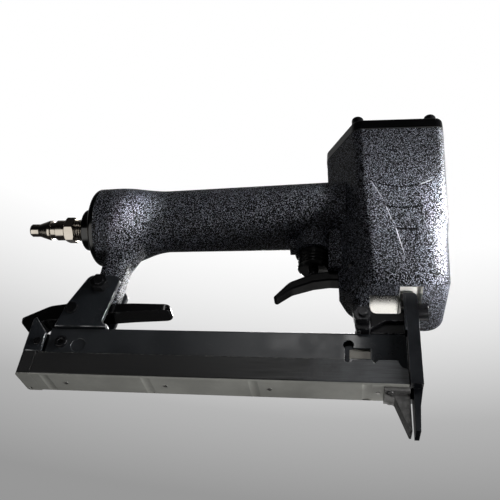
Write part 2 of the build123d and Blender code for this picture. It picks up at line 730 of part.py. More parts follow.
def make_rail_rivets():
    """Domed rivets through the rear bracket's base into the top of the rail."""
    r = base_rivet_r
    dome = Sphere(r) & block(-r, r, -r, r, 0, r)
    top = rail_z[1] + bracket_base_t
    return Compound(children=[Pos(x, 0, top) * dome for x in base_rivet_x])


def make_latch_pin():
    head_r, head_h = latch_pin_head
    reach = plate_half + head_h
    pin = rod_y(*latch_pin, -reach, reach, latch_pin_r)
    pin += rod_y(*latch_pin, -reach, -plate_half, head_r)
    return pin + rod_y(*latch_pin, plate_half, reach, head_r)


def make_latch_spring():
    low, high = latch_half + 0.1, lug_half
    ring = rod_y(*latch_pin, low, high, latch_spring_r)
    return ring - rod_y(*latch_pin, low - 1, high + 1, latch_pin_r + 0.1)


def make_latch():
    """Hook at the rear, hub on the pin, finger tab under the handle."""
    outline = [(-191.6, 51.2), (-178.5, 58.6), (-168.0, 60.4), (-150.0, 60.0), (-136.0, 60.8), (-116.4, 60.6),
               (-116.0, 57.4), (-136.0, 56.0), (-152.0, 54.4), (-160.0, 50.2), (-170.0, 50.8), (-180.6, 50.0),
               (-183.4, 43.4), (-186.0, 43.4), (-191.0, 48.2)]
    radii = [1.2, 12, 8, 12, 20, 1.4, 1.4, 20, 12, 4, 6, 3, 0.8, 1.2, 2.0]
    lever = side_shape(outline, -latch_half, latch_half, radii)
    tab_end = extrude(Plane.XY.offset(40) * Pos(-154.8, 0) * RectangleRounded(79.0, 2 * latch_half, 4.6), 30)
    tail = block(-195, -150, -latch_half, latch_half, 40, 70)
    lever = (lever & tab_end) + (lever & tail)
    return lever - rod_y(*latch_pin, -10, 10, latch_pin_r + running)


def make_cover():
    x0, x1 = cover_x
    cover = block(x0, x1, -cover_half, cover_half, cover_z[0], cover_z[1])
    cover = bent_edges(cover, False)
    inner = cover_half - cover_wall
    cover -= block(x0 - 1, x1 + 1, -inner, inner, cover_z[0] + cover_wall, cover_z[1] + 1)
    cover -= rod_y(x1 + 0.4, cover_z[1] + 0.4, -12, 12, 4.6)
    notch = [(-19.0, 31), (-15.2, 31), (-17.2, 28.6)]
    cover -= side_shape(notch, -12, 12)
    cover -= rod_y(keyhole[0], cover_z[1] + 0.2, -12, 12, 1.9)
    bead_r = bead_w ** 2 / (8 * bead_depth) + bead_depth / 2
    for x in bead_x:
        cover -= rod_y(x, cover_z[0] + bead_depth - bead_r, -cover_half + 1, cover_half - 1, bead_r)
    for x in rivet_x:
        cover -= rod_z(x, 0, cover_z[0] - 1, cover_z[0] + 3, rivet_r)
    return cover


def make_core():
    """Hollow bar that the staples straddle, slotted on top for the pusher's tongue."""
    x0, x1 = core_x
    core = block(x0, x1, -core_half, core_half, core_z[0], core_z[1])
    inner = core_half - core_wall
    core -= block(x0 + 2.5, x1 - 2.0, -inner, inner, core_z[0] + 1, core_z[1] - core_wall)
    core -= block(tongue_x[0] - pusher_travel - 1, tongue_x[1] + 0.5, -core_slot_half, core_slot_half,
                  core_z[1] - 2 * core_wall, core_z[1] + 1)
    core -= rod_x(0, spring_axis_z, x0 - 1, x1 + 1, spring_rod_r + 0.1)
    return core


def make_core_rivets():
    stack = [rod_z(x, 0, cover_z[0] - 0.15, core_z[0], rivet_r) for x in rivet_x]
    return Compound(children=stack)


def make_magazine_end():
    block_end = block(end_x, cover_x[0], -cover_half, cover_half, cover_z[0], end_top_z)
    upright = [e for e in block_end.edges().filter_by(Axis.Z) if e.center().X < end_x + 1]
    block_end = fillet(upright, 1.5)
    core_room = block(core_x[0], cover_x[0] + 1, -core_half, core_half, core_z[0], core_z[1])
    pip = rod_z(end_x + 2.0, cover_half - 2.2, cover_z[0] - 1, cover_z[0] + 1.5, 0.9)
    return block_end - core_room - pip


def make_catch():
    """Two cheeks and a bridge behind the rail, which the latch's hook stands over."""
    inner, outer = catch_y
    points = [(catch_rear_x, end_top_z), (-174.2, end_top_z), (-174.6, 41.4), (-181.8, catch_top_z),
              (catch_rear_x, catch_top_z - 0.7)]
    cheeks = []
    for side in (-1, 1):
        low, high = sorted([side * inner, side * outer])
        cheeks.append(side_shape(points, low, high, [0, 0, 1.5, 0.5, 0.5]))
    bridge = block(catch_rear_x, bridge_front_x, -inner, inner, bridge_z[0], bridge_z[1])
    post = block(catch_rear_x, post_front_x, -inner, inner, end_top_z, bridge_z[0])
    catch = cheeks[0] + cheeks[1] + bridge + post
    return catch - rod_y(*catch_rivet, -12, 12, catch_rivet_r)


def make_catch_rivets():
    inner, outer = catch_y
    rivets = []
    for side in (-1, 1):
        low, high = sorted([side * inner, side * outer])
        shank = rod_y(*catch_rivet, low, high, catch_rivet_r)
        low, high = sorted([side * outer, side * (outer + catch_head_h)])
        rivets.append(shank + rod_y(*catch_rivet, low, high, catch_head_r))
    return Compound(children=rivets)


def make_wedge():
    """Guide under the front of the magazine that backs the staple's legs down to the tip."""
    front = wedge_front_x
    outline = [(front, cover_z[0]), (front, 0.2), (front - 0.9, 0.2), (-9.0, 15.0), (-11.0, 15.6),
               (guide_rear_x, guide_base_z), (guide_rear_x, cover_z[0])]
    nose = side_shape(outline, -wedge_half, wedge_half, [0, 0, 0, 1.5, 0, 0, 0])
    base = block(guide_rear_x, front, -guide_base_half, guide_base_half, guide_base_z, cover_z[0])
    return nose + base


def make_wedge_rivets():
    low = guide_base_z - guide_rivet_h
    return Compound(children=[rod_z(x, y, low, guide_base_z, guide_rivet_r) for x, y in guide_rivet_xy])


def make_pusher():
    x0, x1 = pusher_x
    saddle = block(x0, x1, -pusher_half, pusher_half, pusher_z[0], pusher_z[1])
    inner = pusher_half - pusher_wall
    saddle -= block(x0 - 1, x1 + 1, -inner, inner, pusher_z[0] - 1, core_z[1] + room)
    step_x, step_z = pusher_notch
    saddle -= block(x0 - 1, step_x, -pusher_half - 1, pusher_half + 1, step_z, pusher_z[1] + 1)
    tongue = block(*tongue_x, -tongue_half_y, tongue_half_y, spring_axis_z, core_z[1] + room)
    ring = rod_x(0, spring_axis_z, *tongue_x, spring_r[1])
    rod_way = rod_x(0, spring_axis_z, tongue_x[0] - 1, tongue_x[1] + 1, spring_rod_r + 0.25)
    return saddle + tongue + ring - rod_way


def make_spring_rod():
    return rod_x(0, spring_axis_z, *core_x, spring_rod_r)


def make_pusher_spring():
    x0, x1 = core_x[0] + 2.6, tongue_x[0] - 0.1
    return turned_ring(x0, x1, *spring_r, spring_axis_z)


nodes = {
    "housing": make_housing,
    "cylinder_cap": make_cap,
    "cap_gasket": make_gasket,
    "cap_screws": make_cap_screws,
    "cylinder_sleeve": make_sleeve,
    "sleeve_seals": make_sleeve_seals,
    "bumper": make_bumper,
    "head_valve": make_head_valve,
    "head_valve_seals": make_head_valve_seals,
    "head_valve_spring": make_head_valve_spring,
    "piston": make_piston,
    "piston_ring": make_piston_ring,
    "driver_blade": make_driver,
    "handle_end_cap": make_end_cap,
    "end_cap_seal": make_end_cap_seal,
    "inlet_bushing": make_bushing,
    "air_plug": make_air_plug,
    "trigger": make_trigger,
    "trigger_pin": make_trigger_pin,
    "valve_body": make_valve_body,
    "valve_seals": make_valve_seals,
    "valve_stem": make_valve_stem,
    "valve_spring": make_valve_spring,
    "nose_bar": make_nose_bar,
    "driver_guide": make_guide_plate,
    "nose_bracket": make_nose_bracket,
    "front_block": make_front_block,
    "nose_screw": make_nose_screw,
    "nose_dowel": make_nose_dowel,
    "fixed_rail": make_rail,
    "rail_screws": make_rail_screws,
    "rail_saddle": make_saddle,
    "saddle_bolt": lambda: cross_bolt(*saddle_bolt, saddle_half, saddle_bolt_r, *saddle_bolt_head),
    "saddle_nut": lambda: hex_nut(*saddle_bolt, saddle_half, saddle_bolt_r, *saddle_nut_size),
    "rear_bracket": make_rear_bracket,
    "rail_rivets": make_rail_rivets,
    "bracket_bolt": lambda: cross_bolt(*bracket_bolt, plate_half, cross_bolt_r, *bracket_bolt_head),
    "bracket_nut": lambda: hex_nut(*bracket_bolt, plate_half, cross_bolt_r, *bracket_nut_size),
    "latch_pin": make_latch_pin,
    "latch_spring": make_latch_spring,
    "latch_lever": make_latch,
    "magazine_cover": make_cover,
    "staple_core": make_core,
    "core_rivets": make_core_rivets,
    "magazine_end": make_magazine_end,
    "magazine_catch": make_catch,
    "catch_rivets": make_catch_rivets,
    "staple_guide": make_wedge,
    "guide_rivets": make_wedge_rivets,
    "pusher": make_pusher,
    "spring_rod": make_spring_rod,
    "pusher_spring": make_pusher_spring,
}

os.makedirs("parts", exist_ok=True)
for name, make in nodes.items():
    export_step(make(), "parts/" + name + ".step")
    print("wrote", name)
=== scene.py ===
import math
import bpy
from mathutils import Matrix, Vector


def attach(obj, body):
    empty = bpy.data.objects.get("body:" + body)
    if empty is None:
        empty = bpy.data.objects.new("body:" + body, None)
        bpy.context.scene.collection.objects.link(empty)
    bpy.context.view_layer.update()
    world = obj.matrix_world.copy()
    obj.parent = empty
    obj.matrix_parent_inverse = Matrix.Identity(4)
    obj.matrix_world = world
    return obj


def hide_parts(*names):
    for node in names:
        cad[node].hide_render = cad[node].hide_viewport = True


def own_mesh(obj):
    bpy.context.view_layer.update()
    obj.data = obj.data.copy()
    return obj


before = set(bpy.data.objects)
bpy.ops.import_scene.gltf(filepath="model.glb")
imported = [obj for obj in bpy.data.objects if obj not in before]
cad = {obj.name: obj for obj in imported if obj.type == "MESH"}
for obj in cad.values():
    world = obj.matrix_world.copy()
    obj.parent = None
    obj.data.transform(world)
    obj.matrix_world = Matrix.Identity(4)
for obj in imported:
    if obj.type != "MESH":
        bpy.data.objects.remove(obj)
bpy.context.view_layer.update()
scene = bpy.context.scene
print("frame loaded:", len(cad), "nodes")


# camera, from the straight edges of the photograph
cameraPlace = {
    "eye": (-0.02876, -0.26727, -0.10878),
    "right": (0.9886, 0.1194, 0.0917),
    "up": (0.0007, -0.6130, 0.7901),
    "forward": (-0.1506, 0.7810, 0.6061),
    "lens": 46.47,
    "sensor": 36.0,
    "clip": (0.01, 20.0),
}


def makeCamera(place):
    data = bpy.data.cameras.new("camera")
    data.lens = place["lens"]
    data.sensor_width = place["sensor"]
    data.clip_start, data.clip_end = place["clip"]
    camera = bpy.data.objects.new("camera", data)
    scene.collection.objects.link(camera)
    axes = Matrix((place["right"], place["up"], -Vector(place["forward"]))).transposed()
    camera.matrix_world = Matrix.Translation(place["eye"]) @ axes.to_4x4()
    scene.camera = camera


makeCamera(cameraPlace)
print("camera set")


# node helpers
def put(tree, kind, links=None, **settings):
    node = tree.nodes.new(kind)
    for key, value in settings.items():
        setattr(node, key, value)
    for key, value in (links or {}).items():
        socket = node.inputs[key]
        if isinstance(value, bpy.types.NodeSocket):
            tree.links.new(value, socket)
        else:
            socket.default_value = value
    return node


def calc(tree, operation, *values):
    node = put(tree, "ShaderNodeMath", operation=operation)
    for index, value in enumerate(values):
        if isinstance(value, bpy.types.NodeSocket):
            tree.links.new(value, node.inputs[index])
        else:
            node.inputs[index].default_value = value
    return node.outputs[0]


def remap(tree, value, low, high, newLow=0.0, newHigh=1.0, smooth=True):
    node = put(tree, "ShaderNodeMapRange", {"Value": value, "From Min": low, "From Max": high,
                                            "To Min": newLow, "To Max": newHigh})
    node.interpolation_type = "SMOOTHSTEP" if smooth else "LINEAR"
    return node.outputs["Result"]


def mixTone(tree, factor, first, second):
    node = put(tree, "ShaderNodeMix", data_type="RGBA")
    for index, value in ((0, factor), (6, first), (7, second)):
        socket = node.inputs[index]
        if isinstance(value, bpy.types.NodeSocket):
            tree.links.new(value, socket)
        elif index:
            socket.default_value = (*value, 1.0)
        else:
            socket.default_value = value
    return node.outputs[2]


def newGroup(name, inputs, outputs):
    tree = bpy.data.node_groups.new(name, "ShaderNodeTree")
    for label, value in inputs.items():
        kind = "NodeSocketVector" if isinstance(value, tuple) else "NodeSocketFloat"
        tree.interface.new_socket(label, in_out="INPUT", socket_type=kind).default_value = value
    for label, kind in outputs.items():
        tree.interface.new_socket(label, in_out="OUTPUT", socket_type=kind)
    return tree, tree.nodes.new("NodeGroupInput").outputs, tree.nodes.new("NodeGroupOutput").inputs


def useGroup(tree, group, **values):
    node = tree.nodes.new("ShaderNodeGroup")
    node.node_tree = group
    for label, value in values.items():
        node.inputs[label].default_value = value
    return node.outputs


# rounded edges and bare metal along them
wearLook = {"turn": (0.995, 0.86), "patches": (0.42, 0.62), "detail": 3.0, "samples": 6}


def makeEdgeWear(look):
    tree, given, out = newGroup("edgeWear", {"Radius": 0.0004, "Breakup": 400.0, "Amount": 0.5},
                                {"Mask": "NodeSocketFloat", "Normal": "NodeSocketVector"})
    link = tree.links.new
    rounded = put(tree, "ShaderNodeBevel", {"Radius": given["Radius"]}, samples=look["samples"])
    geometry = put(tree, "ShaderNodeNewGeometry")
    turn = put(tree, "ShaderNodeVectorMath", operation="DOT_PRODUCT")
    link(rounded.outputs[0], turn.inputs[0])
    link(geometry.outputs["Normal"], turn.inputs[1])
    edge = remap(tree, turn.outputs["Value"], *look["turn"])
    place = put(tree, "ShaderNodeTexCoord").outputs["Object"]
    breakup = put(tree, "ShaderNodeTexNoise", {"Vector": place, "Scale": given["Breakup"],
                                               "Detail": look["detail"]})
    patches = remap(tree, breakup.outputs["Fac"], *look["patches"])
    link(calc(tree, "MULTIPLY", calc(tree, "MULTIPLY", edge, patches), given["Amount"]), out["Mask"])
    link(rounded.outputs[0], out["Normal"])
    return tree


# grained powder coat: bumps under half a millimetre wide; the bright ones carry painted glints, pale specks
# standing in for the light the bumps catch
wrinkleLook = {
    "turned": (0.62, 0.41, 0.93),      # so that no face lies along the pattern's grid
    "domeReach": 0.75,
    "ownShare": 0.5,
    "bright": (0.80, 0.93),
    "domeTops": (0.15, 0.45),
}


def makeWrinkle(look):
    tree, given, out = newGroup("wrinkle", {"Scale": 1300.0},
                                {"Height": "NodeSocketFloat", "Specks": "NodeSocketFloat"})
    link = tree.links.new
    straight = put(tree, "ShaderNodeTexCoord").outputs["Object"]
    place = put(tree, "ShaderNodeVectorRotate", {"Vector": straight, "Rotation": look["turned"]},
                rotation_type="EULER_XYZ").outputs[0]
    grains = put(tree, "ShaderNodeTexVoronoi", {"Vector": place, "Scale": given["Scale"], "Randomness": 1.0})
    coarse = put(tree, "ShaderNodeTexNoise", {"Vector": place, "Scale": given["Scale"], "Detail": 0.0})
    domes = remap(tree, grains.outputs["Distance"], look["domeReach"], 0.0)
    link(calc(tree, "ADD", domes, coarse.outputs["Fac"]), out["Height"])
    own = put(tree, "ShaderNodeSeparateColor", {"Color": grains.outputs["Color"]}).outputs["Red"]
    mixed = calc(tree, "ADD", calc(tree, "MULTIPLY", own, look["ownShare"]), coarse.outputs["Fac"])
    bright = remap(tree, mixed, *look["bright"])
    link(calc(tree, "MULTIPLY", bright, remap(tree, domes, *look["domeTops"])), out["Specks"])
    return tree


# slow change over a surface, from handling and dust
cloudLook = {"detail": 5.0, "rough": 0.6, "span": (0.3, 0.7)}


def makeClouds(look):
    tree, given, out = newGroup("clouds", {"Scale": 60.0}, {"Value": "NodeSocketFloat"})
    place = put(tree, "ShaderNodeTexCoord").outputs["Object"]
    noise = put(tree, "ShaderNodeTexNoise", {"Vector": place, "Scale": given["Scale"], "Detail": look["detail"],
                                             "Roughness": look["rough"]})
    tree.links.new(remap(tree, noise.outputs["Fac"], *look["span"]), out["Value"])
    return tree


# grain drawn out along one direction, for rolled and brushed metal
drawnLook = {"detail": 3.0, "rough": 0.6}


def makeDrawnGrain(look):
    tree, given, out = newGroup("drawnGrain", {"Stretch": (40.0, 1500.0, 1500.0)}, {"Value": "NodeSocketFloat"})
    place = put(tree, "ShaderNodeTexCoord").outputs["Object"]
    drawn = put(tree, "ShaderNodeVectorMath", operation="MULTIPLY")
    tree.links.new(place, drawn.inputs[0])
    tree.links.new(given["Stretch"], drawn.inputs[1])
    noise = put(tree, "ShaderNodeTexNoise", {"Vector": drawn.outputs[0], "Scale": 1.0, "Detail": look["detail"],
                                             "Roughness": look["rough"]})
    tree.links.new(noise.outputs["Fac"], out["Value"])
    return tree


# thin rubbed lines that come in patches
scratchLook = {"detail": 4.0, "bend": 1.4, "middle": 0.5, "thin": (0.010, 0.002), "patchScale": 0.6,
               "patches": (0.52, 0.62)}


def makeScratches(look):
    tree, given, out = newGroup("scratches", {"Scale": 90.0, "Share": 0.5}, {"Mask": "NodeSocketFloat"})
    place = put(tree, "ShaderNodeTexCoord").outputs["Object"]
    bent = put(tree, "ShaderNodeTexNoise", {"Vector": place, "Scale": given["Scale"], "Detail": look["detail"],
                                            "Distortion": look["bend"]})
    line = calc(tree, "ABSOLUTE", calc(tree, "SUBTRACT", bent.outputs["Fac"], look["middle"]))
    thin = remap(tree, line, *look["thin"])
    wider = calc(tree, "MULTIPLY", given["Scale"], look["patchScale"])
    where = put(tree, "ShaderNodeTexNoise", {"Vector": place, "Scale": wider})
    patches = remap(tree, where.outputs["Fac"], *look["patches"])
    both = calc(tree, "MULTIPLY", calc(tree, "MULTIPLY", thin, patches), given["Share"])
    tree.links.new(both, out["Mask"])
    return tree


edgeWear = makeEdgeWear(wearLook)
wrinkle = makeWrinkle(wrinkleLook)
clouds = makeClouds(cloudLook)
drawnGrain = makeDrawnGrain(drawnLook)
scratches = makeScratches(scratchLook)
print("shared effects made")


def newFinish(name):
    material = bpy.data.materials.new(name)
    material.use_nodes = True
    return material, material.node_tree, material.node_tree.nodes["Principled BSDF"]


# a plain finish: two tones, worn edges, uneven gloss and a grain
plainLook = {"breakup": 500.0, "cloudScale": 70.0, "wornMetal": 0.8, "coatRough": 0.08, "depth": 0.0001}


def makeFinish(name, ownLook):
    look = {**plainLook, **ownLook}
    material, tree, shader = newFinish(name)
    link = tree.links.new
    wear = useGroup(tree, edgeWear, Radius=look["edge"], Breakup=look["breakup"], Amount=look["wear"])
    cloud = useGroup(tree, clouds, Scale=look["cloudScale"])["Value"]
    tone = mixTone(tree, cloud, look["tone"], look["second"])
    bare = wear["Mask"]
    if "rubbedAndLit" in look:
        lines = useGroup(tree, scratches, Scale=look["rubScale"], Share=look["rubbedAndLit"])["Mask"]
        bare = calc(tree, "MAXIMUM", bare, lines)
    link(mixTone(tree, bare, tone, look["worn"]), shader.inputs["Base Color"])
    rough = remap(tree, cloud, 0.0, 1.0, *look["rough"], False)
    if "smoothFrom" in look:
        low, high, smooth = look["smoothFrom"]
        place = put(tree, "ShaderNodeTexCoord").outputs["Object"]
        along = put(tree, "ShaderNodeSeparateXYZ", {"Vector": place}).outputs["X"]
        rough = put(tree, "ShaderNodeMix", {0: remap(tree, along, low, high), 2: rough, 3: smooth}).outputs[0]
    link(rough, shader.inputs["Roughness"])
    if "metal" in look:
        shader.inputs["Metallic"].default_value = look["metal"]
    else:
        link(calc(tree, "MULTIPLY", bare, look["wornMetal"]), shader.inputs["Metallic"])
    if "coat" in look:
        shader.inputs["Coat Weight"].default_value = look["coat"]
        shader.inputs["Coat Roughness"].default_value = look["coatRough"]
    if "specular" in look:
        shader.inputs["Specular IOR Level"].default_value = look["specular"]
    if "stretch" in look:
        height = useGroup(tree, drawnGrain, Stretch=look["stretch"])["Value"]
    else:
        height = useGroup(tree, clouds, Scale=look["peel"])["Value"]
    bump = put(tree, "ShaderNodeBump", {"Height": height, "Normal": wear["Normal"], "Strength": look["grain"],
                                        "Distance": look["depth"]})
    link(bump.outputs[0], shader.inputs["Normal"])
    return material


# black wrinkle coat on the casting, bare where it was machined
coatLook = {
    "tone": (0.004, 0.0042, 0.005),
    # speck: pale colour of the painted glints on the coat's bumps
    "speck": (0.80, 0.845, 1.0),
    "bare": (0.95, 0.935, 0.90),
    "worn": (0.30, 0.30, 0.31),
    "edge": 0.0002,
    "breakup": 300.0,
    "wear": 0.25,
    "cloudScale": 45.0,
    "scale": 2600.0,
    "depth": 0.0002,
    "strength": 0.6,
    "rough": (0.40, 0.55),
    "specular": 0.12,
    "glint": 0.9,
    "glintRough": 0.26,
    "glintIndex": 1.6,
    "dullGlint": 0.2,         # share of the glint between the specks
    # sloped edges of the panels: tone of the painted highlight on those that face forward, towards the lamps,
    # and how far a face turns to be one; the rest get painted shade in plain black
    "slope": (0.55, 0.57, 0.62),
    "slopeTurn": 0.95,
    "forward": 0.2,
    # boxes round the panels, low and high corner
    "flatSides": [((-0.0185, -0.03, 0.1085), (0.0140, 0.03, 0.1265)),
                  ((-0.0115, -0.03, 0.0735), (0.0085, 0.03, 0.1085))],
    "cleared": 0.93,          # how much of the coat the machining took off
    # machined places: low and high corner, roughness and how much each mirrors
    "machined": [((-0.0190, -0.0112, 0.0629), (-0.0050, 0.0112, 0.0640), 0.20, 1.0),
                 ((-0.0053, -0.0186, 0.0629), (0.0051, 0.0186, 0.0677), 0.60, 0.0)],
}


def insideBox(tree, place, low, high):
    axes = put(tree, "ShaderNodeSeparateXYZ", {"Vector": place}).outputs
    mask = None
    for axis in range(3):
        middle = (low[axis] + high[axis]) / 2
        half = (high[axis] - low[axis]) / 2
        away = calc(tree, "ABSOLUTE", calc(tree, "SUBTRACT", axes[axis], middle))
        within = calc(tree, "LESS_THAN", away, half)
        mask = within if mask is None else calc(tree, "MULTIPLY", mask, within)
    return mask


def insideAny(tree, place, boxes):
    mask = None
    for low, high in boxes:
        within = insideBox(tree, place, low, high)
        mask = within if mask is None else calc(tree, "MAXIMUM", mask, within)
    return mask


def makeCoat(look):
    material, tree, shader = newFinish("wrinkleCoat")
    link = tree.links.new
    place = put(tree, "ShaderNodeTexCoord").outputs["Object"]
    grain = useGroup(tree, wrinkle, Scale=look["scale"])
    wear = useGroup(tree, edgeWear, Radius=look["edge"], Breakup=look["breakup"], Amount=look["wear"])
    cloud = useGroup(tree, clouds, Scale=look["cloudScale"])["Value"]
    # pale specks painted into the black coat: painted glints of its bumps
    tone = mixTone(tree, grain["Specks"], look["tone"], look["speck"])
    tone = mixTone(tree, wear["Mask"], tone, look["worn"])
    # the sloped edges of the panels are smooth; those facing forward, towards the key lamp, get a painted
    # highlight, the rest painted shade in plain black without specks
    crisp = put(tree, "ShaderNodeNewGeometry").outputs["True Normal"]
    facing = put(tree, "ShaderNodeVectorTransform", {0: crisp}, vector_type="NORMAL", convert_from="WORLD",
                 convert_to="OBJECT")
    turn = put(tree, "ShaderNodeSeparateXYZ", {"Vector": facing.outputs[0]}).outputs
    sides = insideAny(tree, place, look["flatSides"])
    turned = calc(tree, "LESS_THAN", calc(tree, "ABSOLUTE", turn["Y"]), look["slopeTurn"])
    sloped = calc(tree, "MULTIPLY", sides, turned)
    # painted highlight on the slopes that face forward, painted shade on the others
    rubbedAndLit = mixTone(tree, calc(tree, "GREATER_THAN", turn["X"], look["forward"]), look["tone"], look["slope"])
    tone = mixTone(tree, sloped, tone, rubbedAndLit)
    machined = mirrors = None
    uneven = remap(tree, cloud, 0.0, 1.0, *look["rough"], False)
    for low, high, rough, mirror in look["machined"]:
        spot = insideBox(tree, place, low, high)
        machined = spot if machined is None else calc(tree, "MAXIMUM", machined, spot)
        bright = calc(tree, "MULTIPLY", spot, mirror)
        mirrors = bright if mirrors is None else calc(tree, "MAXIMUM", mirrors, bright)
        uneven = put(tree, "ShaderNodeMix", {0: spot, 2: uneven, 3: rough}).outputs[0]
    link(mixTone(tree, machined, tone, look["bare"]), shader.inputs["Base Color"])
    link(mirrors, shader.inputs["Metallic"])
    link(uneven, shader.inputs["Roughness"])
    coated = calc(tree, "SUBTRACT", 1.0, calc(tree, "MULTIPLY", machined, look["cleared"]))
    shader.inputs["Specular IOR Level"].default_value = look["specular"]
    shader.inputs["Coat Roughness"].default_value = look["glintRough"]
    shader.inputs["Coat IOR"].default_value = look["glintIndex"]
    glint = calc(tree, "MULTIPLY", calc(tree, "MULTIPLY", coated, look["glint"]),
                 remap(tree, grain["Specks"], 0.0, 1.0, look["dullGlint"], 1.0, False))
    link(glint, shader.inputs["Coat Weight"])
    grained = calc(tree, "MULTIPLY", coated, calc(tree, "SUBTRACT", 1.0, sloped))
    height = calc(tree, "MULTIPLY", grain["Height"], grained)
    flat = put(tree, "ShaderNodeMix", data_type="VECTOR")
    link(sides, flat.inputs[0])
    link(wear["Normal"], flat.inputs[4])
    link(crisp, flat.inputs[5])
    bump = put(tree, "ShaderNodeBump", {"Height": height, "Normal": flat.outputs[1],
                                        "Strength": look["strength"], "Distance": look["depth"]})
    link(bump.outputs[0], shader.inputs["Normal"])
    link(bump.outputs[0], shader.inputs["Coat Normal"])
    return material


# the magazine's cover: black sides that turn lighter towards the nose, partly paint rubbed thin and partly
# painted light from the lamps on the right; bare steel underneath
coverLook = {
    "paint": (0.024, 0.024, 0.025),
    "rubbedAndLit": (0.14, 0.147, 0.155),
    "steel": (0.62, 0.62, 0.57),
    "steelDark": (0.50, 0.50, 0.46),
    "wornAndLitFrom": -0.055,      # x where the sides begin to lighten: paint rubbed thin, and painted light from the lamps on the right
    "wornAndLitTo": -0.012,
    "ragged": 0.030,          # how far that line wanders
    "streaks": (0.35, 0.6),
    "streakLow": 0.55,
    "underside": 0.01935,     # below this height the steel is bare
    "metal": 0.2,
    "edge": 0.0004,
    "breakup": 420.0,
    "wear": 0.7,
    "cloudScale": 55.0,
    "stretch": (60.0, 2200.0, 2200.0),
    "grainSpan": (0.3, 0.7),
    "rough": (0.36, 0.52),
    "specular": 0.8,
    "strength": 0.12,
    "depth": 0.0001,
}


def makeCoverFinish(look):
    material, tree, shader = newFinish("coverSheet")
    link = tree.links.new
    place = put(tree, "ShaderNodeTexCoord").outputs["Object"]
    axes = put(tree, "ShaderNodeSeparateXYZ", {"Vector": place}).outputs
    wear = useGroup(tree, edgeWear, Radius=look["edge"], Breakup=look["breakup"], Amount=look["wear"])
    cloud = useGroup(tree, clouds, Scale=look["cloudScale"])["Value"]
    grain = useGroup(tree, drawnGrain, Stretch=look["stretch"])["Value"]
    wander = calc(tree, "MULTIPLY", calc(tree, "SUBTRACT", cloud, 0.5), look["ragged"])
    # the sides lighten towards the nose: rubbed paint, with painted light from the lamps on the right
    thin = remap(tree, calc(tree, "ADD", axes["X"], wander), look["wornAndLitFrom"], look["wornAndLitTo"])
    thin = calc(tree, "MULTIPLY", thin, remap(tree, grain, *look["streaks"], look["streakLow"], 1.0))
    side = mixTone(tree, thin, look["paint"], look["rubbedAndLit"])
    steel = mixTone(tree, cloud, look["steel"], look["steelDark"])
    under = calc(tree, "LESS_THAN", axes["Z"], look["underside"])
    bare = calc(tree, "MAXIMUM", under, wear["Mask"])
    link(mixTone(tree, bare, side, steel), shader.inputs["Base Color"])
    link(calc(tree, "MULTIPLY", calc(tree, "MAXIMUM", bare, thin), look["metal"]), shader.inputs["Metallic"])
    link(remap(tree, grain, *look["grainSpan"], *look["rough"], False), shader.inputs["Roughness"])
    shader.inputs["Specular IOR Level"].default_value = look["specular"]
    bump = put(tree, "ShaderNodeBump", {"Height": grain, "Normal": wear["Normal"], "Strength": look["strength"],
                                        "Distance": look["depth"]})
    link(bump.outputs[0], shader.inputs["Normal"])
    return material


